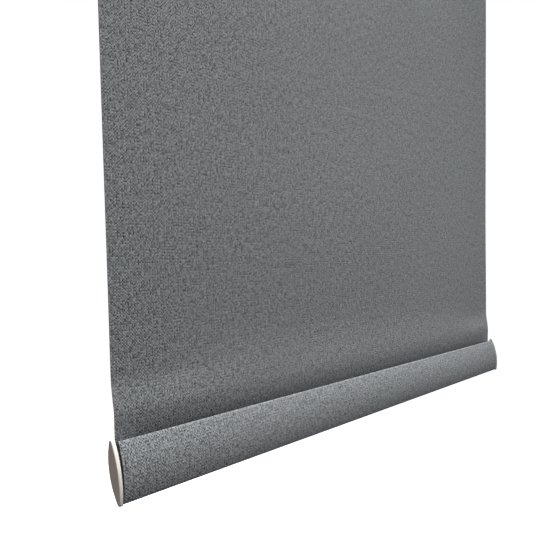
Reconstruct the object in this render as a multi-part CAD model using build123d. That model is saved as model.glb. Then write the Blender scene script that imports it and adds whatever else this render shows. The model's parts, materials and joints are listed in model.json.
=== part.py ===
from build123d import *
import math
import os

# Spring-operated roller blind, cordless, as it hangs fully lowered.
# X runs along the roller, the wall is the plane Y = 0, the room is at -Y, and Z points up.
# The origin is the centre of the four wall-fixing holes. All dimensions are in millimetres.

# Whole blind
overall_width = 600.0            # over the two bracket covers
overall_drop = 1000.0            # top of the brackets to the lowest point of the bottom bar
bracket_top = 30.0               # above the roller's axis
axis_from_wall = 40.0
half_width = overall_width / 2
axis_y = -axis_from_wall

# Cloth
cloth_width = 565.0
cloth_thick = 0.45
hang_radius = 17.6               # the hanging cloth's middle, measured from the roller's axis
roll_gap = 0.1                   # between the last full turn and the hanging cloth
tape_thick = 0.15
roller_tape_height = 9.0

# Roller tube
tube_radius = 16.0
tube_wall = 1.2
tube_length = 570.0
tube_rib_width = 2.0
tube_rib_height = 0.9
tube_end = tube_length / 2
tube_inside = tube_radius - tube_wall

# Bottom bar: a hollow lens, fuller at its back, given to its sharp tips, then rounded
bar_half_chord = 20.0
bar_front = 3.2                  # how far the front face bulges from the chord
bar_back = 6.4
bar_tip_radius = 0.8
bar_wall = 1.2
bar_half_length = 283.9
bar_tilt = 9.0                   # degrees, lower edge towards the room
tuck_length = 7.0                # cloth folded over the bar's top edge and glued down behind it

# How the hanging cloth comes to the bar: it bends forward, bends back, and runs down to the bar's back
first_lean = 8.0                 # degrees, forward going down
first_bend_radius = 60.0
first_run = 11.0                 # straight cloth between the two bends
last_lean = -1.0                 # degrees
last_bend_radius = 50.0
last_run = 28.0                  # straight cloth, down to where it meets the bar's back

# Bottom bar end caps
cap_half_chord = 23.5
cap_front = 4.3
cap_back = 7.4
cap_tip_radius = 1.8
cap_rise = 0.8                   # the cap's middle, above the bar's
cap_seat_x = (285.1, 284.2)      # the slanted inner side of the cap's head, at its top and bottom tips
cap_outer_x = (287.7, 286.5)     # its outer side
cap_edge_radius = 0.8
cap_plug_x = (270.0, 285.6)
cap_plug_gap = 0.15

# Brackets and their covers
steel = 2.0
bracket_depth = 62.0
bracket_bottom = -26.0
bracket_corner = 10.0
flange_width = 22.0
flange_corner = 2.5
fixing_hole_radius = 2.3
wall_hole_half_spacing = 15.0
top_hole_y = (-16.0, -46.0)
fixing_hole_x = 286.0
cover_wall = 1.6
cover_gap = 0.1
cover_rim_depth = 10.0
cover_edge_radius = 1.0
hook_depth = 1.0                 # of the catches that hold the cover behind the side plate's edges
hook_thick = 1.2
hook_root = 0.4                  # of each catch, inside the cover's wall
hook_half_width = 3.0
front_hook_z = (-8.0, 20.0)
lower_hook_y = -30.0
plate_out = half_width - cover_wall - cover_gap
plate_in = plate_out - steel

# Idle end, at -X
pin_radius = 2.5
pin_clearance = 0.06
pin_tip_x = 298.1
pin_inner_x = 250.0
pin_collar_radius = 4.0
pin_collar_x = (279.0, 281.0)
pin_chamber_radius = 4.2
retainer_x = (256.5, 259.0)
pin_spring_wire = 0.35
pin_spring_radius = 3.3
pin_spring_pitch = 2.6

# End plugs
plug_radius = tube_inside - 0.1
plug_inner_x = 255.0
plug_flange_radius = 18.5
plug_flange_thick = 2.5
rib_notch_gap = 0.1

# Spring end, at +X
spindle_radius = 5.0
spindle_clearance = 0.06
spindle_x = (262.0, 288.6)
shoulder_radius = 7.5
shoulder_thick = 2.0
washer_thick = 1.0
blade_width = 2.4
blade_height = 7.2
blade_tip_x = 298.2
blade_slot_gap = 0.1
slot_top = 12.3
cavity_radius = 13.0
cavity_wall_x = 279.0
crown_plate_x = (264.0, 266.5)

# Ratchet
wheel_radius = 8.0
wheel_x = (271.0, 277.0)
notch_count = 4
notch_gap = 0.3
pawl_pivot_radius = 10.2
pawl_reach = 6.0
pawl_half_width = 1.3
pawl_lean = 97.0                 # degrees from the radius through its pivot, held clear of the wheel
pawl_swing = 39.0                # degrees, from clear to engaged
pawl_x = (271.2, 276.8)
pawl_pin_radius = 0.7
pawl_pin_clearance = 0.06
pawl_pin_x = (264.8, 281.0)

# Spring motor
rod_radius = 3.0
rod_x = (-27.0, 284.0)
anchor_barrel_radius = 9.1
anchor_flange_radius = 11.5
fixed_anchor_x = (226.0, 240.0, 244.0)
drive_anchor_x = (-22.0, 0.0, 14.0)
bush_radius = 5.0
rod_clearance = 0.06
clip_radius = 5.5
clip_x = (-23.4, -22.4)
motor_spring_x = (3.0, 237.0)
motor_spring_radius = 10.1
motor_spring_wire = 0.8
motor_spring_pitch = 7.8

# Blade latch on the spring-side bracket
latch_pivot = (-30.0, 9.0)
latch_nose_y = -42.0
latch_half_height = 3.2
latch_thick = 1.2
latch_gap = 0.1
latch_tab_reach = 3.0
latch_tab_half_height = 2.0
rivet_radius = 1.5
rivet_head_radius = 2.6
rivet_head_thick = 0.7
rivet_clearance = 0.06


def block(x_from, x_to, y_from, y_to, z_from, z_to):
    """Box between pairs of coordinates."""
    centre = ((x_from + x_to) / 2, (y_from + y_to) / 2, (z_from + z_to) / 2)
    return Pos(*centre) * Box(abs(x_to - x_from), abs(y_to - y_from), abs(z_to - z_from))


def rod_along_x(radius, x_from, x_to, y=axis_y, z=0.0):
    """Cylinder along X, on the roller's axis unless told otherwise."""
    centre = ((x_from + x_to) / 2, y, z)
    return Pos(*centre) * Rot(0, 90, 0) * Cylinder(radius, abs(x_to - x_from))


def sleeve(outer, inner, x_from, x_to):
    """Ring about the roller's axis."""
    return rod_along_x(outer, x_from, x_to) - rod_along_x(inner, x_from, x_to)


def to_left(part):
    """Mirror image at the other end of the blind."""
    return mirror(part, about=Plane.YZ)


def spun(part, degrees):
    """The part turned about the roller's axis."""
    return part.rotate(Axis((0, axis_y, 0), (1, 0, 0)), degrees)


# ------------------------------------------------------------------ bottom bar and cloth

def face_radius(half_chord, bulge):
    """Radius of a lens's face."""
    return (half_chord ** 2 + bulge ** 2) / (2 * bulge)


def lens_tip(half_chord, front, back, inset):
    """Where a lens's two faces meet once both are moved inwards: thickness, then chord."""
    back_radius = face_radius(half_chord, back)
    front_radius = face_radius(half_chord, front)
    back_centre = back_radius - back
    front_centre = front_radius - front
    squares = (back_radius - inset) ** 2 - (front_radius - inset) ** 2 - back_centre ** 2 + front_centre ** 2
    thickness = squares / (2 * (back_centre + front_centre))
    return thickness, math.sqrt((back_radius - inset) ** 2 - (thickness + back_centre) ** 2)


def lens(half_chord, front, back, tip_radius, inset=0.0):
    """Lens outline in the bar's own plane: thickness along its x, back side positive, chord along its y."""
    thickness, chord = lens_tip(half_chord, front, back, inset)
    top = (thickness, chord)
    bottom = (thickness, -chord)
    back_face = ThreePointArc(top, (back - inset, 0), bottom)
    front_face = ThreePointArc(bottom, (inset - front, 0), top)
    face = make_face([back_face, front_face])
    return fillet(face.vertices(), tip_radius)


bar_back_radius = face_radius(bar_half_chord, bar_back)
wrap_middle_radius = bar_back_radius + tape_thick + cloth_thick / 2
tilt = math.radians(bar_tilt)
lean_1 = math.radians(first_lean)
lean_2 = math.radians(last_lean)

# From the foot of the upright cloth: how far forward and down each stretch goes, up to the bar's back
cloth_y = axis_y + hang_radius
stretches = (
    (first_bend_radius * (1 - math.cos(lean_1)), first_bend_radius * math.sin(lean_1)),
    (first_run * math.sin(lean_1), first_run * math.cos(lean_1)),
    (
        last_bend_radius * (math.cos(lean_2) - math.cos(lean_1)),
        last_bend_radius * (math.sin(lean_1) - math.sin(lean_2)),
    ),
    (last_run * math.sin(lean_2), last_run * math.cos(lean_2)),
)
meet_y = cloth_y - sum(forward for forward, down in stretches)
meet_drop = sum(down for forward, down in stretches)

# The cloth meets the bar's back face where the slopes are equal
face_centre_y = meet_y - wrap_middle_radius * math.cos(lean_2)
face_centre_drop = meet_drop - wrap_middle_radius * math.sin(lean_2)
bar_y = face_centre_y + (bar_back_radius - bar_back) * math.cos(tilt)
bar_drop = face_centre_drop + (bar_back_radius - bar_back) * math.sin(tilt)

# The bend starts at such a height that the end cap's lower tip is at the full drop
tip_thickness, tip_chord = lens_tip(cap_half_chord, cap_front, cap_back, cap_tip_radius)
tip_drop = (tip_chord - cap_rise) * math.cos(tilt) + tip_thickness * math.sin(tilt) + cap_tip_radius
bar_z = bracket_top - overall_drop + tip_drop
bend_z = bar_z + bar_drop


def bar_section(x):
    """Plane across the bar at x: local x points to the bar's back, local y up its chord."""
    return Plane(origin=(x, bar_y, bar_z), x_dir=(0, math.cos(tilt), -math.sin(tilt)), z_dir=(1, 0, 0))


def across_bar(face, x_from, x_to):
    """A face in the bar's plane, drawn out along X."""
    return extrude(bar_section(x_from) * face, amount=x_to - x_from, dir=(1, 0, 0))


def bar_outline(inset=0.0):
    return lens(bar_half_chord, bar_front, bar_back, bar_tip_radius, inset)


def bottom_bar():
    return across_bar(bar_outline() - bar_outline(bar_wall), -bar_half_length, bar_half_length)


def behind_bar(y_from, y_to):
    """Patch on the back half of the bar's plane, between two heights on its chord."""
    width = 3 * bar_back
    return Pos(width / 2, (y_from + y_to) / 2) * Rectangle(width, abs(y_to - y_from))


def leaning_side(side):
    """One side of the leaning cloth, half a thickness from its middle: its corners, from the top down."""
    radius = first_bend_radius + side
    centre = (cloth_y - first_bend_radius, bend_z)
    upper = [
        (centre[0] + radius * math.cos(angle), centre[1] - radius * math.sin(angle))
        for angle in (0, lean_1 / 2, lean_1)
    ]
    start = (upper[2][0] - stretches[1][0], upper[2][1] - stretches[1][1])
    radius = last_bend_radius - side
    centre = (start[0] + radius * math.cos(lean_1), start[1] - radius * math.sin(lean_1))
    lower = [
        (centre[0] - radius * math.cos(angle), centre[1] + radius * math.sin(angle))
        for angle in ((lean_1 + lean_2) / 2, lean_2)
    ]
    end = (lower[1][0] - stretches[3][0], lower[1][1] - stretches[3][1])
    return upper + [start] + lower + [end]


def cloth_apron():
    """The cloth between the upright panel and the bar's back."""
    back = leaning_side(cloth_thick / 2)
    front = leaning_side(-cloth_thick / 2)
    outline = [Line(front[0], back[0]), Line(back[6], front[6])]
    for side in (back, front):
        outline += [ThreePointArc(*side[:3]), Line(side[2], side[3])]
        outline += [ThreePointArc(*side[3:6]), Line(side[5], side[6])]
    section = Plane(origin=(-cloth_width / 2, 0, 0), x_dir=(0, 1, 0), z_dir=(1, 0, 0))
    return extrude(section * make_face(outline), amount=cloth_width, dir=(1, 0, 0))


def cloth_hem():
    """The cloth's lower end: bent forward, down the bar's back, round it and over its top edge."""
    outer = offset(bar_outline(), amount=tape_thick + cloth_thick)
    inner = offset(bar_outline(), amount=tape_thick)
    meet_height = wrap_middle_radius * math.sin(tilt - lean_2)
    tuck_end = bar_half_chord - tuck_length
    wrap = outer - inner - behind_bar(meet_height, tuck_end)
    return across_bar(wrap, -cloth_width / 2, cloth_width / 2) + cloth_apron()


def cloth_panel():
    half = cloth_thick / 2
    return block(-cloth_width / 2, cloth_width / 2, cloth_y - half, cloth_y + half, bend_z, 0)


def hem_tape():
    """Adhesive strip under the tucked cloth, on the bar's back."""
    strip = offset(bar_outline(), amount=tape_thick) - bar_outline()
    strip = strip & behind_bar(bar_half_chord - tuck_length, bar_half_chord - 2.5)
    return across_bar(strip, -cloth_width / 2, cloth_width / 2)


def beyond(x_at_top, x_at_bottom):
    """Everything further out than a slanted plane across the cap, given at the cap's two tips."""
    slope = math.atan((x_at_top - x_at_bottom) / (2 * cap_half_chord))
    up = (0, math.sin(tilt), math.cos(tilt))
    face_up = (math.sin(slope), up[1] * math.cos(slope), up[2] * math.cos(slope))
    normal = (math.cos(slope), -up[1] * math.sin(slope), -up[2] * math.sin(slope))
    across = Plane(origin=((x_at_top + x_at_bottom) / 2, bar_y, bar_z), x_dir=face_up, z_dir=normal)
    return extrude(across * Rectangle(6 * cap_half_chord, 6 * cap_half_chord), amount=20)


def bar_cap():
    """Right-hand end cap: a slightly slanted lens-shaped head, and a plug for the bar's cavity."""
    outline = Pos(0, cap_rise) * lens(cap_half_chord, cap_front, cap_back, cap_tip_radius)
    head = across_bar(outline, cap_seat_x[1] - 1, cap_outer_x[0] + 1)
    head = (head & beyond(*cap_seat_x)) - beyond(*cap_outer_x)
    outer_edges = head.faces().sort_by(Axis.X)[-1].edges()
    head = fillet(outer_edges, cap_edge_radius)
    plug = across_bar(bar_outline(bar_wall + cap_plug_gap), *cap_plug_x)
    plug = chamfer(plug.faces().sort_by(Axis.X)[0].edges(), 0.5)
    return head + plug


# ------------------------------------------------------------------ brackets

def bracket_blank():
    """Right-hand bracket: a side plate with a wall flange and a top flange folded inwards."""
    flange_x = plate_out - flange_width
    side = block(plate_in, plate_out, -bracket_depth, 0, bracket_bottom, bracket_top)
    wall = block(flange_x, plate_out, -steel, 0, bracket_bottom, bracket_top)
    ceiling = block(flange_x, plate_out, -bracket_depth, 0, bracket_top - steel, bracket_top)
    body = side + wall + ceiling
    relief = steel + 1.2
    body = body - block(flange_x - 1, plate_in, -relief, 1, bracket_top - relief, bracket_top + 1)
    low_front = body.edges().filter_by(Axis.X).group_by(Axis.Z)[0].sort_by(Axis.Y)[0]
    body = fillet(low_front, bracket_corner)
    inner_end = body.edges().group_by(Axis.X)[0]
    corners = inner_end.filter_by(Axis.Y).sort_by(Axis.Z)[0:1]
    corners = corners + inner_end.filter_by(Axis.Z).sort_by(Axis.Y)[0:1]
    body = fillet(corners, flange_corner)
    folds = body.edges().group_by(Axis.X)[-1]
    wall_fold = folds.filter_by(Axis.Z).sort_by(Axis.Y)[-1:]
    top_fold = folds.filter_by(Axis.Y).sort_by(Axis.Z)[-1:]
    body = fillet(wall_fold + top_fold, steel * 0.75)
    for z in (-wall_hole_half_spacing, wall_hole_half_spacing):
        hole = Rot(90, 0, 0) * Cylinder(fixing_hole_radius, 4 * steel)
        body = body - Pos(fixing_hole_x, 0, z) * hole
    for y in top_hole_y:
        body = body - Pos(fixing_hole_x, y, bracket_top) * Cylinder(fixing_hole_radius, 4 * steel)
    return body


def idle_bracket():
    body = to_left(bracket_blank())
    return body - rod_along_x(pin_radius + pin_clearance, -plate_out - 1, -plate_in + 1)


def spring_bracket():
    """The blade drops into an upright slot, which is reached from the front edge."""
    half_slot = blade_width / 2 + blade_slot_gap
    slot_floor = -blade_height / 2 - blade_slot_gap
    entry_floor = slot_top - blade_height - 3 * blade_slot_gap
    x_range = (plate_in - 1, plate_out + 1)
    slot = block(*x_range, axis_y - half_slot, axis_y + half_slot, slot_floor, slot_top)
    entry = block(*x_range, -bracket_depth - 1, axis_y + half_slot, entry_floor, slot_top)
    rivet_hole = rod_along_x(rivet_radius, *x_range, *latch_pivot)
    return bracket_blank() - slot - entry - rivet_hole


def bracket_cover():
    """Right-hand cover: a shell over the side plate, open at the wall, the top and the inside."""
    rim_x = half_width - cover_rim_depth
    skin = cover_wall + cover_gap
    front = -bracket_depth - skin
    floor = bracket_bottom - skin
    shell = block(rim_x, half_width, front, 0, floor, bracket_top)
    low_front = shell.edges().filter_by(Axis.X).group_by(Axis.Z)[0].sort_by(Axis.Y)[0]
    shell = fillet(low_front, bracket_corner + skin)
    high_front = shell.edges().filter_by(Axis.X).group_by(Axis.Z)[-1].sort_by(Axis.Y)[0]
    shell = fillet(high_front, cover_edge_radius)
    outer_edges = shell.faces().sort_by(Axis.X)[-1].edges().filter_by(lambda e: e.center().Y < -1)
    shell = fillet(outer_edges, cover_edge_radius)
    inside_x = (rim_x - 1, half_width - cover_wall)
    room = block(*inside_x, -bracket_depth - cover_gap, 1, bracket_bottom - cover_gap, bracket_top + 1)
    room_corner = room.edges().filter_by(Axis.X).group_by(Axis.Z)[0].sort_by(Axis.Y)[0]
    shell = shell - fillet(room_corner, bracket_corner + cover_gap)
    hook_x = (plate_in - cover_gap - hook_thick, plate_in - cover_gap)
    hook_y = (-bracket_depth - cover_gap - hook_root, -bracket_depth + hook_depth)
    hook_z = (bracket_bottom - cover_gap - hook_root, bracket_bottom + hook_depth)
    for z in front_hook_z:
        shell = shell + block(*hook_x, *hook_y, z - hook_half_width, z + hook_half_width)
    return shell + block(*hook_x, lower_hook_y - hook_half_width, lower_hook_y + hook_half_width, *hook_z)


def bracket_latch():
    """Small gate over the spindle's blade, pivoted on a rivet inside the bracket."""
    x_to = plate_in - latch_gap
    x_from = x_to - latch_thick
    length = latch_pivot[0] - latch_nose_y
    section = Plane(origin=(x_from, *latch_pivot), x_dir=(0, 1, 0), z_dir=(1, 0, 0))
    arm = Pos(-length / 2, 0) * Rectangle(length, 2 * latch_half_height)
    nose = fillet(arm.vertices().group_by(Axis.X)[0], 1.0)
    shape = nose + Circle(latch_half_height)
    gate = extrude(section * shape, amount=latch_thick, dir=(1, 0, 0))
    tab_x = (x_from - latch_tab_reach, x_from)
    tab_z = (latch_pivot[1] - latch_tab_half_height, latch_pivot[1] + latch_tab_half_height)
    tab = block(*tab_x, latch_nose_y, latch_nose_y + latch_thick, *tab_z)
    return gate + tab - rod_along_x(rivet_radius + rivet_clearance, x_from - 1, x_to + 1, *latch_pivot)


def latch_rivet():
    inner_face = plate_in - 2 * latch_gap - latch_thick
    shank = rod_along_x(rivet_radius, inner_face, plate_out, *latch_pivot)
    head = rod_along_x(rivet_head_radius, inner_face - rivet_head_thick, inner_face, *latch_pivot)
    return shank + head


# ------------------------------------------------------------------ roller tube and its ends

def tube_ribs(width, height, x_from, x_to):
    """Two ribs inside the tube, one at the top and one at the bottom."""
    ribs = []
    for side in (1, -1):
        root = side * (tube_inside + 0.3)
        crest = side * (tube_inside - height)
        ribs.append(block(x_from, x_to, axis_y - width / 2, axis_y + width / 2, root, crest))
    return ribs


def roller_tube():
    tube = sleeve(tube_radius, tube_inside, -tube_end, tube_end)
    for rib in tube_ribs(tube_rib_width, tube_rib_height, -tube_end, tube_end):
        tube = tube + rib
    return tube


def notched(plug, x_from, x_to):
    """A plug with grooves that pass the tube's ribs."""
    width = tube_rib_width + 2 * rib_notch_gap
    height = tube_rib_height + rib_notch_gap
    for groove in tube_ribs(width, height, x_from, x_to):
        plug = plug - groove
    return plug


def plug_blank():
    """Right-hand end plug: a barrel inside the tube and a flange against its end."""
    barrel = notched(rod_along_x(plug_radius, plug_inner_x, tube_end), plug_inner_x, tube_end)
    return barrel + rod_along_x(plug_flange_radius, tube_end, tube_end + plug_flange_thick)


def idle_plug():
    bore = rod_along_x(pin_radius + pin_clearance, plug_inner_x - 1, tube_end + plug_flange_thick + 1)
    chamber = rod_along_x(pin_chamber_radius, plug_inner_x - 1, pin_collar_x[1] + pin_clearance)
    return to_left(plug_blank() - bore - chamber)


def idle_pin():
    pin = rod_along_x(pin_radius, pin_inner_x, pin_tip_x)
    pin = chamfer(pin.faces().sort_by(Axis.X)[-1].edges(), 0.6)
    return to_left(pin + rod_along_x(pin_collar_radius, *pin_collar_x))


def pin_spring_retainer():
    return to_left(sleeve(pin_chamber_radius, pin_radius + pin_clearance, *retainer_x))


def coil_spring(x_from, x_to, radius, wire_radius, pitch):
    """Round-wire spring about the roller's axis, its wire's centre between two X positions."""
    path = Helix(pitch, x_to - x_from, radius, center=(x_from, axis_y, 0), direction=(1, 0, 0))
    return sweep((path ^ 0) * Circle(wire_radius), path=path, is_frenet=True)


def idle_pin_spring():
    play = pin_spring_wire + 0.1
    x_from = -pin_collar_x[0] + play
    return coil_spring(x_from, -retainer_x[1] - play, pin_spring_radius, pin_spring_wire, pin_spring_pitch)


def roll_tape():
    """Adhesive strip that holds the cloth's upper end on the tube."""
    ring = sleeve(tube_radius + tape_thick, tube_radius, -cloth_width / 2, cloth_width / 2)
    half = roller_tape_height / 2
    return ring & block(-half_width, half_width, axis_y - 2 * tube_radius, axis_y, -half, half)


def cloth_roll():
    """The turns of cloth that stay on the tube when the blind is fully lowered."""
    outer = hang_radius - cloth_thick / 2 - roll_gap
    return sleeve(outer, tube_radius + tape_thick, -cloth_width / 2, cloth_width / 2)


# ------------------------------------------------------------------ spring end and ratchet

def tube_crown():
    """Spring-side end plug: turns on the spindle and holds the pawls in its cavity."""
    bore = rod_along_x(spindle_radius + spindle_clearance, plug_inner_x, tube_end + plug_flange_thick + 1)
    cavity = rod_along_x(cavity_radius, plug_inner_x - 1, cavity_wall_x)
    return plug_blank() - bore - cavity - pawl_pins()


def crown_plate():
    plate = sleeve(cavity_radius, spindle_radius + spindle_clearance, *crown_plate_x)
    return plate - pawl_pins()


def thrust_washer():
    x_to = spindle_x[1]
    return sleeve(shoulder_radius + 1.0, spindle_radius, x_to - washer_thick, x_to)


def spindle():
    """Fixed journal with a shoulder, a flat blade that the bracket holds, and a bore for the rod."""
    journal = rod_along_x(spindle_radius, *spindle_x)
    shoulder_end = spindle_x[1] + shoulder_thick
    shoulder = rod_along_x(shoulder_radius, spindle_x[1], shoulder_end)
    half = blade_width / 2
    blade = block(
        shoulder_end, blade_tip_x, axis_y - half, axis_y + half, -blade_height / 2, blade_height / 2
    )
    blade = chamfer(blade.faces().sort_by(Axis.X)[-1].edges(), 0.4)
    return journal + shoulder + blade - rod_along_x(rod_radius, spindle_x[0] - 1, rod_x[1])


def spindle_rod():
    rod = rod_along_x(rod_radius, *rod_x)
    return chamfer(rod.faces().sort_by(Axis.X)[0].edges(), 0.5)


def pawl_outline(angle, extra):
    """Pawl seen along the roller, its pivot at the back of the axis, swung in by an angle."""
    direction = math.radians(pawl_lean + angle)
    middle = Pos(
        pawl_pivot_radius + math.cos(direction) * pawl_reach / 2, math.sin(direction) * pawl_reach / 2
    )
    return middle * Rot(0, 0, pawl_lean + angle) * SlotCenterToCenter(
        pawl_reach, 2 * (pawl_half_width + extra)
    )


def along_roller(face, x_from, x_to):
    """A face drawn in the plane across the roller's axis, drawn out along X."""
    section = Plane(origin=(x_from, axis_y, 0), x_dir=(0, 1, 0), z_dir=(1, 0, 0))
    return extrude(section * face, amount=x_to - x_from, dir=(1, 0, 0))


def ratchet_wheel():
    """Notched wheel fixed on the spindle. Each notch is open to a pawl's whole swing."""
    wheel = sleeve(wheel_radius, spindle_radius, *wheel_x)
    notch = None
    for share in (0.5, 0.65, 0.8, 0.9, 1.0):
        cut = along_roller(pawl_outline(pawl_swing * share, notch_gap), wheel_x[0] - 1, wheel_x[1] + 1)
        notch = cut if notch is None else notch + cut
    for turn in range(notch_count):
        wheel = wheel - spun(notch, turn * 360 / notch_count)
    return wheel


def pawl(turn):
    body = along_roller(pawl_outline(0, 0), *pawl_x)
    pivot_y = axis_y + pawl_pivot_radius
    body = body - rod_along_x(pawl_pin_radius + pawl_pin_clearance, *wheel_x, pivot_y, 0)
    return spun(body, turn)


def pawl_pins():
    pivot_y = axis_y + pawl_pivot_radius
    pin = rod_along_x(pawl_pin_radius, *pawl_pin_x, pivot_y, 0)
    return pin + spun(pin, 180)


# ------------------------------------------------------------------ spring motor

def torsion_spring():
    return coil_spring(*motor_spring_x, motor_spring_radius, motor_spring_wire, motor_spring_pitch)


def fixed_spring_anchor():
    barrel_from, flange_from, flange_to = fixed_anchor_x
    anchor = rod_along_x(anchor_barrel_radius, barrel_from, flange_from)
    anchor = anchor + rod_along_x(anchor_flange_radius, flange_from, flange_to)
    return anchor - rod_along_x(rod_radius, barrel_from - 1, flange_to + 1)


def drive_spring_anchor():
    body_from, body_to, barrel_to = drive_anchor_x
    body = notched(rod_along_x(plug_radius, body_from, body_to), body_from - 1, body_to + 1)
    body = body + rod_along_x(anchor_barrel_radius, body_to, barrel_to)
    return body - rod_along_x(bush_radius, body_from - 1, barrel_to + 1)


def rod_bush():
    return sleeve(bush_radius, rod_radius + rod_clearance, drive_anchor_x[0], drive_anchor_x[2])


def rod_clip():
    """Retaining clip on the rod's free end, open on one side."""
    ring = sleeve(clip_radius, rod_radius, *clip_x)
    half = rod_radius * 0.8
    return ring - block(clip_x[0] - 1, clip_x[1] + 1, axis_y - half, axis_y + half, 0, 2 * clip_radius)


right_bar_cap = bar_cap()
right_cover = bracket_cover()
nodes = {
    "idle_bracket": idle_bracket(),
    "spring_bracket": spring_bracket(),
    "idle_bracket_cover": to_left(right_cover),
    "spring_bracket_cover": right_cover,
    "bracket_latch": bracket_latch(),
    "latch_rivet": latch_rivet(),
    "roller_tube": roller_tube(),
    "roll_tape": roll_tape(),
    "cloth_roll": cloth_roll(),
    "cloth_panel": cloth_panel(),
    "cloth_hem": cloth_hem(),
    "bottom_bar": bottom_bar(),
    "hem_tape": hem_tape(),
    "left_bar_cap": to_left(right_bar_cap),
    "right_bar_cap": right_bar_cap,
    "idle_plug": idle_plug(),
    "idle_pin": idle_pin(),
    "idle_pin_spring": idle_pin_spring(),
    "pin_spring_retainer": pin_spring_retainer(),
    "tube_crown": tube_crown(),
    "crown_plate": crown_plate(),
    "thrust_washer": thrust_washer(),
    "spindle": spindle(),
    "spindle_rod": spindle_rod(),
    "ratchet_wheel": ratchet_wheel(),
    "rear_pawl": pawl(0),
    "front_pawl": pawl(180),
    "pawl_pins": pawl_pins(),
    "torsion_spring": torsion_spring(),
    "fixed_spring_anchor": fixed_spring_anchor(),
    "drive_spring_anchor": drive_spring_anchor(),
    "rod_bush": rod_bush(),
    "rod_clip": rod_clip(),
}

os.makedirs("parts", exist_ok=True)
for name, shape in nodes.items():
    export_step(shape, f"parts/{name}.step")

print(f"cloth bend starts at z = {bend_z:.3f}, bar centre at y = {bar_y:.3f}, z = {bar_z:.3f}")
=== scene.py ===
import json
import math

import bpy
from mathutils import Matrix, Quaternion, Vector


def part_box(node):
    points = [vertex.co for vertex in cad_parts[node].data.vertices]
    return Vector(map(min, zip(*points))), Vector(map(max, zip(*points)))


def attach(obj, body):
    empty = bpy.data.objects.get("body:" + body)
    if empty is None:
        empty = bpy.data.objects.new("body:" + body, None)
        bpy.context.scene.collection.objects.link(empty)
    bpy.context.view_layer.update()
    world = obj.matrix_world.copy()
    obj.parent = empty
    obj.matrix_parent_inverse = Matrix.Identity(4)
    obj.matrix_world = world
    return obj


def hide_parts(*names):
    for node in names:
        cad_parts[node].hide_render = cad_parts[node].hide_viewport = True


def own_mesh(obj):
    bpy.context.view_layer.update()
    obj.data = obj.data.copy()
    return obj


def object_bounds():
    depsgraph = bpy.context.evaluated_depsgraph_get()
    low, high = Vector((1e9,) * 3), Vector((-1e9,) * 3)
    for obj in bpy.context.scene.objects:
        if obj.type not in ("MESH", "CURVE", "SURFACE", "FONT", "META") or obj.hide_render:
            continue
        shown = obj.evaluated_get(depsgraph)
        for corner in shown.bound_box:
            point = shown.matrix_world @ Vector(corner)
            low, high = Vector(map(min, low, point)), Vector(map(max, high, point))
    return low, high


# Looks of a spring roller blind, hung fully lowered. Metres, in the CAD model's frame:
# X along the roller, the wall at Y = 0, the room at -Y, Z up.

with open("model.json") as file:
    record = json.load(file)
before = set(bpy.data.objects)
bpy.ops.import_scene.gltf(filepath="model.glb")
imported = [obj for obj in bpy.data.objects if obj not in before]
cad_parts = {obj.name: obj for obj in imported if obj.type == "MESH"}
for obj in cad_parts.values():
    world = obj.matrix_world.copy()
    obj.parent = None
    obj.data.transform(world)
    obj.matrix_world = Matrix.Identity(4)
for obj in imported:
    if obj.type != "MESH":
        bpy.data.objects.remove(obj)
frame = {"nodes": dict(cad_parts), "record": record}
cad_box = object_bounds()

# ------------------------------------------------------------------ places taken from the CAD model

panel_low, panel_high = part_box("cloth_panel")
roll_low, roll_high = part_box("cloth_roll")

cloth_half_width = panel_high[0]
cloth_y = (panel_low[1] + panel_high[1]) / 2
cloth_thick = panel_high[1] - panel_low[1]
bend_z = panel_low[2]
roller_y = (roll_low[1] + roll_high[1]) / 2
roller_z = (roll_low[2] + roll_high[2]) / 2
hang_radius = cloth_y - roller_y

# The bottom bar's section, and how the cloth comes to it, as in the CAD model
bar_half_chord = 0.020
bar_front = 0.0032
bar_back = 0.0064
bar_tip_radius = 0.0008
bar_tilt = math.radians(9.0)
tape_thick = 0.00015
first_lean = math.radians(8.0)
first_bend_radius = 0.060
first_run = 0.011
last_lean = math.radians(-1.0)
last_bend_radius = 0.050
last_run = 0.028
tuck_length = 0.007
tube_surface = 0.01615                  # radius of the tube with the tape on it

# How the cloth differs from that path: its side edges follow it, and its middle comes forward more gently
side_band = (0.17, 0.25)                # distances from the centre: the middle's end and the edge's start
drift_depth = 0.0025                    # how far forward the middle comes between the next two heights
drift_heights = (-0.918, -0.86)
settle_height = 0.012                   # over this height above the bar, the middle's own shape dies away
sink_depth = 0.002                      # how far the cloth sinks back behind the bar's top edge
seam_drop = 0.0025                      # from the bar's top edge down to where it has sunk furthest
sink_reach = 0.025                      # from there up to where the sinking starts
sink_ends = (0.262, 0.281)              # distances from the centre, between which the sinking dies away
slow_amplitude = 0.0005
cross_amplitude = 0.00025
hem_flare = 0.0009                      # how much further the cloth reaches at each end, at the bar's foot
hem_flare_reach = 0.040                 # along the cloth, from there to where it has its own width again


# ------------------------------------------------------------------ shader helpers

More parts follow.
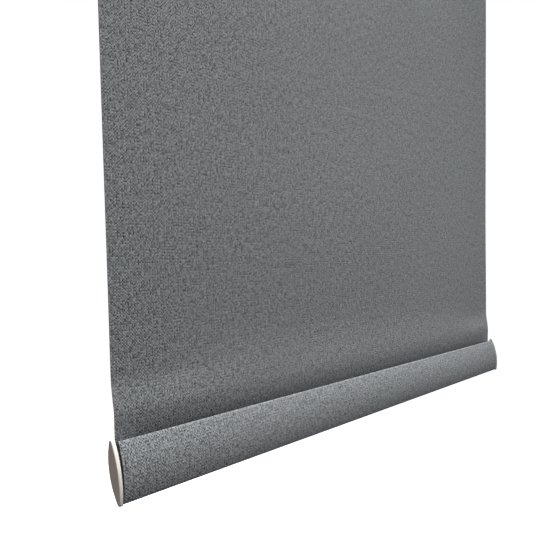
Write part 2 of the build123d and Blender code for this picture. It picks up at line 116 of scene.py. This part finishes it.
class Nodes:
    """A material's node tree, with short calls for the few node types used here."""

    def __init__(self, name):
        self.material = bpy.data.materials.new(name)
        self.material.use_nodes = True
        self.tree = self.material.node_tree
        self.shader = self.tree.nodes["Principled BSDF"]

    def link(self, source, target):
        self.tree.links.new(source, target)

    def value(self, socket, source):
        """Sets a socket to a number, or links it to another socket."""
        if isinstance(source, (int, float)):
            socket.default_value = source
        else:
            self.link(source, socket)

    def math(self, operation, first, second=0.0):
        node = self.tree.nodes.new("ShaderNodeMath")
        node.operation = operation
        self.value(node.inputs[0], first)
        self.value(node.inputs[1], second)
        return node.outputs[0]

    def coordinates(self, uv=None):
        if uv:
            node = self.tree.nodes.new("ShaderNodeUVMap")
            node.uv_map = uv
            return node.outputs["UV"]
        return self.tree.nodes.new("ShaderNodeTexCoord").outputs["Object"]

    def stretched(self, coordinates, scale):
        node = self.tree.nodes.new("ShaderNodeMapping")
        node.inputs["Scale"].default_value = scale
        self.link(coordinates, node.inputs["Vector"])
        return node.outputs[0]

    def noise(self, coordinates, scale, detail=2.0, roughness=0.5):
        node = self.tree.nodes.new("ShaderNodeTexNoise")
        node.inputs["Scale"].default_value = scale
        node.inputs["Detail"].default_value = detail
        node.inputs["Roughness"].default_value = roughness
        self.link(coordinates, node.inputs["Vector"])
        return node.outputs["Fac"]

    def cell(self, across, along):
        """A random tone for each whole-number cell."""
        place = self.tree.nodes.new("ShaderNodeCombineXYZ")
        self.value(place.inputs[0], across)
        self.value(place.inputs[1], along)
        node = self.tree.nodes.new("ShaderNodeTexWhiteNoise")
        node.noise_dimensions = "2D"
        self.link(place.outputs[0], node.inputs["Vector"])
        return node.outputs["Value"]

    def spread(self, source, low, high, to_low, to_high):
        """Maps low..high to to_low..to_high, and holds the ends."""
        node = self.tree.nodes.new("ShaderNodeMapRange")
        limits = {"From Min": low, "From Max": high, "To Min": to_low, "To Max": to_high}
        for socket, number in limits.items():
            node.inputs[socket].default_value = number
        self.link(source, node.inputs["Value"])
        return node.outputs[0]

    def between(self, share, dark, light):
        node = self.tree.nodes.new("ShaderNodeMix")
        node.data_type = "RGBA"
        node.inputs["A"].default_value = (*dark, 1)
        node.inputs["B"].default_value = (*light, 1)
        self.link(share, node.inputs["Factor"])
        return node.outputs["Result"]

    def bump(self, height, strength, distance):
        node = self.tree.nodes.new("ShaderNodeBump")
        node.inputs["Strength"].default_value = strength
        node.inputs["Distance"].default_value = distance
        self.link(height, node.inputs["Height"])
        self.link(node.outputs[0], self.shader.inputs["Normal"])


# ------------------------------------------------------------------ materials

def cloth_material():
    """Charcoal plain weave of uneven two-tone yarn. Its coordinates are the flat cloth's own, in metres."""
    thread = 0.00105
    wander = 1.6                        # how far the threads stray from straight, in threads
    balance = 0.4                       # yarn of this tone stays even, and any other swings along its length
    dark_yarn = (0.020, 0.023, 0.027)
    light_yarn = (0.350, 0.372, 0.396)
    n = Nodes("charcoal_cloth")
    uv = n.coordinates("cloth")
    stray = n.noise(uv, 90, 2.0)
    split = n.tree.nodes.new("ShaderNodeSeparateXYZ")
    n.link(uv, split.inputs[0])
    across = n.math("ADD", n.math("DIVIDE", split.outputs[0], thread), n.math("MULTIPLY", stray, wander))
    along = n.math("ADD", n.math("DIVIDE", split.outputs[1], thread), n.math("MULTIPLY", stray, -wander))

    # Over and under: the waves' product is high in one square of the weave and low in the next
    wave_x = n.math("SINE", n.math("MULTIPLY", across, math.pi))
    wave_y = n.math("SINE", n.math("MULTIPLY", along, math.pi))
    checker = n.math("MULTIPLY", wave_x, wave_y)
    ridge = n.math("ADD", n.math("ABSOLUTE", wave_x), n.math("ABSOLUTE", wave_y))
    height = n.math("ADD", n.math("MULTIPLY", checker, 0.6), n.math("MULTIPLY", ridge, 0.3))

    def yarn(side, end):
        """A random tone for each patch, so many threads across by so many along."""
        wide = n.math("FLOOR", n.math("DIVIDE", across, side))
        long = n.math("FLOOR", n.math("DIVIDE", along, end))
        return n.cell(wide, long)

    crossing = yarn(1, 1)
    warp = yarn(1, 2)
    weft = yarn(2, 1)
    fleck = n.noise(uv, 900, 1.0, 0.7)
    slub = n.noise(n.stretched(uv, (1, 0.6, 1)), 330, 1.0, 0.5)
    patch = n.noise(uv, 9, 2.0)
    tone = n.math("ADD", n.math("MULTIPLY", checker, 0.16), 0.5)
    for wave, source, share in ((wave_x, weft, 0.6), (wave_y, warp, 0.6), (checker, crossing, 0.5)):
        swing = n.math("MULTIPLY", wave, n.math("SUBTRACT", source, balance))
        tone = n.math("ADD", tone, n.math("MULTIPLY", swing, share))
    for source, weight in ((crossing, 0.16), (fleck, 0.5), (slub, 0.55), (patch, 0.05)):
        tone = n.math("ADD", tone, n.math("MULTIPLY", n.math("SUBTRACT", source, 0.5), weight))
    held = n.spread(tone, 0.0, 1.0, 0.0, 1.0)
    n.link(n.between(held, dark_yarn, light_yarn), n.shader.inputs["Base Color"])
    n.link(n.spread(fleck, 0.3, 0.7, 0.62, 0.85), n.shader.inputs["Roughness"])
    n.shader.inputs["Specular IOR Level"].default_value = 0.2
    n.shader.inputs["Sheen Weight"].default_value = 0.02
    n.shader.inputs["Sheen Roughness"].default_value = 0.45
    n.shader.inputs["Sheen Tint"].default_value = (0.8, 0.86, 0.95, 1)
    n.bump(height, 0.55, 0.00012)
    return n.material


def grained(name, dark, light, scale, stretch=(1, 1, 1), rough=(0.4, 0.5), metallic=0.0,
            bump=(0.1, 0.00005), coat=0.0):
    """Moulded, coated or metal surface: colour and roughness from two sizes of noise, and a fine bump."""
    n = Nodes(name)
    place = n.stretched(n.coordinates(), stretch)
    broad = n.noise(place, scale, 3.0, 0.6)
    detail = n.noise(place, scale * 6, 2.0, 0.6)
    mixed = n.math("ADD", n.math("MULTIPLY", broad, 0.6), n.math("MULTIPLY", detail, 0.4))
    n.link(n.between(n.spread(mixed, 0.3, 0.7, 0, 1), dark, light), n.shader.inputs["Base Color"])
    n.link(n.spread(detail, 0.3, 0.7, *rough), n.shader.inputs["Roughness"])
    n.shader.inputs["Metallic"].default_value = metallic
    n.shader.inputs["Coat Weight"].default_value = coat
    n.bump(detail, *bump)
    return n.material


def grey(level, warm=0.0):
    """A neutral tone, warmed a little towards yellow."""
    return (level * (1 + warm), level, level * (1 - 1.6 * warm))


materials = {
    "cloth": cloth_material(),
    "white_plastic": grained(
        "white_plastic", grey(0.78, 0.012), grey(0.86, 0.01), 120,
        rough=(0.3, 0.42), bump=(0.15, 0.00003), coat=0.15
    ),
    "bracket_steel": grained(
        "white_powder_coat", grey(0.74, 0.008), grey(0.82, 0.006), 300,
        rough=(0.36, 0.5), bump=(0.35, 0.00006)
    ),
    # Near-black coat on the bottom bar: a guessed dark finish, made this dark partly so that the narrow gap
    # by each end cap reads black, which is painted shade
    "bar_paint": grained(
        "dark_coat_with_painted_gap_shade", grey(0.005), grey(0.012), 400, rough=(0.45, 0.6), bump=(0.3, 0.00005)
    ),
    "tube_aluminium": grained(
        "extruded_aluminium", grey(0.60), grey(0.80), 60,
        stretch=(0.05, 6, 6), rough=(0.24, 0.42), metallic=1.0
    ),
    "rivet_steel": grained(
        "zinc_plated_steel", grey(0.46, 0.02), grey(0.66, 0.01), 500, rough=(0.25, 0.4), metallic=1.0
    ),
    "pin_steel": grained(
        "ground_steel", grey(0.5), grey(0.66), 300, stretch=(8, 1, 1), rough=(0.16, 0.3), metallic=1.0
    ),
    "spring_steel": grained(
        "oiled_spring_wire", grey(0.20, 0.05), grey(0.38, 0.03), 700, rough=(0.2, 0.36), metallic=1.0
    ),
    "cast_zinc": grained(
        "die_cast_zinc", grey(0.38), grey(0.56), 420, rough=(0.4, 0.6), metallic=1.0, bump=(0.3, 0.00008)
    ),
    "plug_plastic": grained(
        "ivory_nylon", grey(0.70, 0.03), grey(0.78, 0.02), 260, rough=(0.45, 0.6), bump=(0.2, 0.00004)
    ),
    "anchor_plastic": grained(
        "black_acetal", grey(0.02), grey(0.04), 260, rough=(0.35, 0.5), bump=(0.2, 0.00004)
    ),
    "adhesive_tape": grained(
        "adhesive_tape", grey(0.6, 0.05), grey(0.72, 0.04), 500, rough=(0.5, 0.7), bump=(0.4, 0.00005)
    ),
}

for part in frame["record"]["subparts"]:
    mesh = frame["nodes"][part["node"]].data
    mesh.materials.clear()
    mesh.materials.append(materials[part["material_slot"]])


# ------------------------------------------------------------------ cloth

def arc(centre, radius, start, end, count):
    """Points on an arc, from one angle to another."""
    angles = [start + (end - start) * i / count for i in range(count + 1)]
    return [(centre[0] + radius * math.cos(a), centre[1] + radius * math.sin(a)) for a in angles]


def run_lengths(path):
    """Distance along the path to each of its points."""
    total = 0.0
    lengths = [0.0]
    for before, after in zip(path, path[1:]):
        total += math.dist(before, after)
        lengths.append(total)
    return lengths


def sides_of(path, half_thick):
    """The path's two sides, half a thickness away: right of its direction, then left."""
    right, left = [], []
    last = len(path) - 1
    for i, (y, z) in enumerate(path):
        before, after = path[max(i - 1, 0)], path[min(i + 1, last)]
        size = math.dist(before, after)
        normal = ((after[1] - before[1]) / size, -(after[0] - before[0]) / size)
        right.append((y + normal[0] * half_thick, z + normal[1] * half_thick))
        left.append((y - normal[0] * half_thick, z - normal[1] * half_thick))
    return right, left


def cloth_ribbon(name, path, start_v, direction_v, stations, half_width, shift=None):
    """Closed sheet of real thickness: a path in the YZ plane, drawn out along X.

    Its UV map holds the flat cloth's own coordinates in metres, so the weave runs on between pieces."""
    lengths = run_lengths(path)
    right, left = sides_of(path, cloth_thick / 2)
    loop = right + left[::-1]
    v = [start_v + direction_v * s for s in lengths]
    loop_v = v + v[::-1]
    loop_s = lengths + lengths[::-1]
    verts, coords, faces = [], [], []
    for i in range(stations + 1):
        share = 2 * i / stations - 1
        for (y, z), cloth_v, s in zip(loop, loop_v, loop_s):
            x = share * half_width(s)
            dy = shift(x, z, s) if shift else 0.0
            verts.append((x, y + dy, z))
            coords.append((x, cloth_v))
    size = len(loop)
    for i in range(stations):
        for j in range(size):
            k = (j + 1) % size
            faces.append((i * size + j, i * size + k, (i + 1) * size + k, (i + 1) * size + j))
    half = len(path)
    for base, flip in ((0, False), (stations * size, True)):
        for j in range(half - 1):
            face = (base + j, base + size - 1 - j, base + size - 2 - j, base + j + 1)
            faces.append(face[::-1] if flip else face)
    mesh = bpy.data.meshes.new(name)
    mesh.from_pydata(verts, [], faces)
    layer = mesh.uv_layers.new(name="cloth")
    for corner in mesh.loops:
        layer.data[corner.index].uv = coords[corner.vertex_index]
    mesh.validate()
    mesh.polygons.foreach_set("use_smooth", [True] * len(mesh.polygons))
    mesh.set_sharp_from_angle(angle=math.radians(50))
    mesh.materials.append(materials["cloth"])
    piece = bpy.data.objects.new(name, mesh)
    bpy.context.collection.objects.link(piece)
    return piece, lengths[-1]


def smooth(value, low, high):
    """Rises gently from 0 at low to 1 at high."""
    share = min(max((value - low) / (high - low), 0.0), 1.0)
    return share * share * (3 - 2 * share)


def middle_share(x):
    """0 near the cloth's side edges, which follow the CAD path, and 1 between them."""
    return 1 - smooth(abs(x), *side_band)


def drift(z):
    """How far the middle of the cloth has come forward at this height, on its way to the bar."""
    return drift_depth * (1 - smooth(z, *drift_heights)) ** 2


def panel_shift(x, z, s):
    """The hanging cloth's slow unevenness, all of it towards the wall, and its drift forward.

    Each wave has its radians per metre up and across, and its phase."""
    fall = (z - bend_z) / (roller_z - bend_z)
    fade = math.sin(math.pi * min(max(fall, 0.0), 1.0)) ** 0.7
    slow = (math.sin(17.0 * z + 4.0 * x + 0.6) + 1) * slow_amplitude
    cross = (math.sin(29.0 * z - 9.0 * x + 2.1) + 1) * cross_amplitude
    return fade * (slow + cross) - middle_share(x) * drift(z)


def straight_edge(s):
    """The half width of a cloth with straight sides, at any distance along it."""
    return cloth_half_width


def hanging_cloth():
    """The flat cloth from the roll down to where it bends towards the bar."""
    rows = 150
    path = [(cloth_y, roller_z + (bend_z - roller_z) * i / rows) for i in range(rows + 1)]
    piece, length = cloth_ribbon(
        "hanging_cloth", path, start_v=roller_z, direction_v=-1,
        stations=90, half_width=straight_edge, shift=panel_shift
    )
    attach(piece, "brackets")
    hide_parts("cloth_panel")
    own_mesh(piece)


def straight(start, lean, length, steps):
    """Points after the start along a straight line that leans forward going down."""
    runs = [length * (i + 1) / steps for i in range(steps)]
    return [(start[0] - run * math.sin(lean), start[1] - run * math.cos(lean)) for run in runs]


def leaning_path():
    """From the foot of the hanging cloth: bent forward, bent back, then down to the bar's back."""
    path = arc((cloth_y - first_bend_radius, bend_z), first_bend_radius, 0.0, -first_lean, 8)
    path += straight(path[-1], first_lean, first_run, 4)
    y, z = path[-1]
    centre = (y + last_bend_radius * math.cos(first_lean), z - last_bend_radius * math.sin(first_lean))
    path += arc(centre, last_bend_radius, math.pi - first_lean, math.pi - last_lean, 8)[1:]
    return path + straight(path[-1], last_lean, last_run, 28)


def wrapping_path(meet):
    """Down the bar's back, round its lower edge, up its front and over its top edge."""
    back_radius = (bar_half_chord ** 2 + bar_back ** 2) / (2 * bar_back)
    front_radius = (bar_half_chord ** 2 + bar_front ** 2) / (2 * bar_front)
    back_offset = back_radius - bar_back
    front_offset = front_radius - bar_front
    squares = (back_radius - bar_tip_radius) ** 2 - (front_radius - bar_tip_radius) ** 2
    squares += front_offset ** 2 - back_offset ** 2
    tip_u = squares / (2 * (back_offset + front_offset))
    tip_v = math.sqrt((back_radius - bar_tip_radius) ** 2 - (tip_u + back_offset) ** 2)
    back_turn = math.atan2(tip_v, tip_u + back_offset)
    front_turn = math.pi - math.atan2(tip_v, front_offset - tip_u)

    standoff = tape_thick + cloth_thick / 2
    outer = back_radius + standoff
    tip = bar_tip_radius + standoff
    back = (-back_offset, 0.0)
    front = (front_offset, 0.0)
    tuck = math.asin((bar_half_chord - tuck_length) / outer)
    wrap = arc(back, outer, bar_tilt - last_lean, -back_turn, 22)[1:]
    wrap += arc((tip_u, -tip_v), tip, -back_turn, -front_turn, 10)[1:]
    wrap += arc(front, front_radius + standoff, -front_turn, front_turn - 2 * math.pi, 40)[1:]
    wrap += arc((tip_u, tip_v), tip, front_turn, back_turn, 10)[1:]
    wrap += arc(back, outer, back_turn, tuck, 8)[1:]

    sine, cosine = math.sin(bar_tilt), math.cos(bar_tilt)
    bar_y = meet[0] - outer * math.cos(last_lean) + back_offset * cosine
    bar_z = meet[1] + outer * math.sin(last_lean) - back_offset * sine
    return [(bar_y + u * cosine + v * sine, bar_z - u * sine + v * cosine) for u, v in wrap]


def wrapped_hem():
    """The cloth from its first bend to the bar, round the bar and down behind its top edge."""
    lean = leaning_path()
    path = lean + wrapping_path(lean[-1])
    lengths = run_lengths(path)
    lower_edge = lengths[min(range(len(path)), key=lambda i: path[i][1])]
    meet = lengths[len(lean) - 1]
    rounding = 0.0001
    bar_top = max(z for y, z in path[len(lean):])
    seam_z = bar_top - seam_drop

    def half_width(s):
        """Widest at the bar's lower edge."""
        return cloth_half_width + hem_flare * max(0.0, 1 - abs(s - lower_edge) / hem_flare_reach)

    def shift(x, z, s):
        """Between its side edges the cloth comes forward more gently, then sinks behind the bar's top."""
        if s > meet + rounding:
            return 0.0
        place = next((i for i in range(len(lean) - 1) if lengths[i + 1] >= s), len(lean) - 2)
        share = (s - lengths[place]) / (lengths[place + 1] - lengths[place])
        forward = cloth_y - (lean[place][0] + share * (lean[place + 1][0] - lean[place][0]))
        gentle = middle_share(x) * (forward - drift(z)) * smooth(z, bar_top, bar_top + settle_height)
        if z > seam_z:
            sunk = max(1 - (z - seam_z) / sink_reach, 0.0) ** 3
        else:
            sunk = smooth(z, lean[-1][1], seam_z)
        return gentle + sink_depth * sunk * (1 - smooth(abs(x), *sink_ends))

    piece, length = cloth_ribbon(
        "wrapped_hem", path, start_v=bend_z, direction_v=-1,
        stations=90, half_width=half_width, shift=shift
    )
    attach(piece, "bottom_bar")
    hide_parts("cloth_hem")


def rolled_cloth():
    """The turns left on the tube: a spiral whose outer end runs on into the hanging cloth."""
    pitch = cloth_thick * 1.02
    inner = tube_surface + cloth_thick / 2
    turns = (hang_radius - inner) / pitch
    steps = int(turns * 72)
    path = []
    for i in range(steps + 1):
        angle = 2 * math.pi * turns * i / steps
        radius = hang_radius - pitch * angle / (2 * math.pi)
        path.append((roller_y + radius * math.cos(angle), roller_z + radius * math.sin(angle)))
    piece, length = cloth_ribbon(
        "rolled_cloth", path, start_v=roller_z, direction_v=1,
        stations=24, half_width=straight_edge
    )
    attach(piece, "roller")
    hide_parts("cloth_roll")


hanging_cloth()
wrapped_hem()
rolled_cloth()


# ------------------------------------------------------------------ floor, light and camera

def floor():
    """A plain pale floor below the blind, seen but giving no light of its own."""
    size = 30.0
    drop = 0.9
    z = cad_box[0][2] - drop
    corners = [(-size, -size, z), (size, -size, z), (size, size, z), (-size, size, z)]
    mesh = bpy.data.meshes.new("floor")
    mesh.from_pydata(corners, [], [(0, 1, 2, 3)])
    n = Nodes("pale_floor")
    tone = n.noise(n.coordinates(), 3.0, 3.0)
    n.link(n.between(tone, (0.9, 0.9, 0.9), (0.94, 0.94, 0.94)), n.shader.inputs["Base Color"])
    n.shader.inputs["Roughness"].default_value = 0.9
    n.shader.inputs["Emission Color"].default_value = (1, 1, 1, 1)
    n.shader.inputs["Emission Strength"].default_value = 1.05
    mesh.materials.append(n.material)
    piece = bpy.data.objects.new("floor", mesh)
    bpy.context.collection.objects.link(piece)
    piece.visible_diffuse = False
    piece.visible_glossy = False


def aim(name, data, place, target):
    """Puts a light at a place, pointing at a target."""
    lamp = bpy.data.objects.new(name, data)
    lamp.location = place
    lamp.rotation_euler = (Vector(target) - Vector(place)).to_track_quat("-Z", "Y").to_euler()
    bpy.context.collection.objects.link(lamp)


def area_light(name, place, target, size, power, colour=(1, 1, 1)):
    data = bpy.data.lights.new(name, "AREA")
    data.shape = "DISK"
    data.size = size
    data.energy = power
    data.color = colour
    aim(name, data, place, target)


def spot_light(name, place, target, radius, power, cone, blend, colour):
    data = bpy.data.lights.new(name, "SPOT")
    data.shadow_soft_size = radius
    data.energy = power
    data.spot_size = cone
    data.spot_blend = blend
    data.color = colour
    aim(name, data, place, target)


def lights():
    """A soft key from steep above the front, aimed low to spare the roller, and weak fills all round."""
    middle = (0.0, cloth_y, -0.75)
    low = (-0.03, -0.23, -0.93)
    spot_light(
        "key", (0.03, -0.86, 1.60), low,
        radius=0.25, power=565, cone=math.radians(38), blend=0.9, colour=(1.0, 0.985, 0.955)
    )
    area_light("front_fill", (-0.2, -3.0, -0.5), middle, size=1.6, power=4)
    area_light("left_fill", (-3.0, -0.2, -0.8), middle, size=1.5, power=17, colour=(1.0, 0.85, 0.77))
    area_light("right_fill", (2.2, -0.6, -0.6), middle, size=1.0, power=7)
    area_light("back_fill", (0.8, 3.0, 0.2), middle, size=2.0, power=70)


def surround():
    """A plain white surround that is seen but gives no light of its own."""
    world = bpy.data.worlds.new("surround")
    world.use_nodes = True
    world.node_tree.nodes["Background"].inputs["Color"].default_value = (1, 1, 1, 1)
    world.cycles_visibility.diffuse = False
    world.cycles_visibility.glossy = False
    bpy.context.scene.world = world


def camera():
    """Close to the blind's lower left corner, looking along the bar and into the wall."""
    data = bpy.data.cameras.new("camera")
    data.sensor_width = 36.0
    data.lens = 36.324324
    data.shift_y = 0.0195
    data.clip_start = 0.01
    eye = bpy.data.objects.new("camera", data)
    eye.location = (-0.4638, -0.3467, -0.8176)
    heading = 0.7667
    pitch = 0.0480
    roll = 0.0176
    level = math.cos(pitch)
    ahead = Vector((math.cos(heading) * level, math.sin(heading) * level, -math.sin(pitch)))
    eye.rotation_mode = "QUATERNION"
    eye.rotation_quaternion = ahead.to_track_quat("-Z", "Y")
    eye.rotation_quaternion.rotate(Quaternion(ahead, roll))
    bpy.context.collection.objects.link(eye)
    bpy.context.scene.camera = eye


floor()
lights()
surround()
camera()
bpy.context.scene.view_settings.view_transform = "Standard"
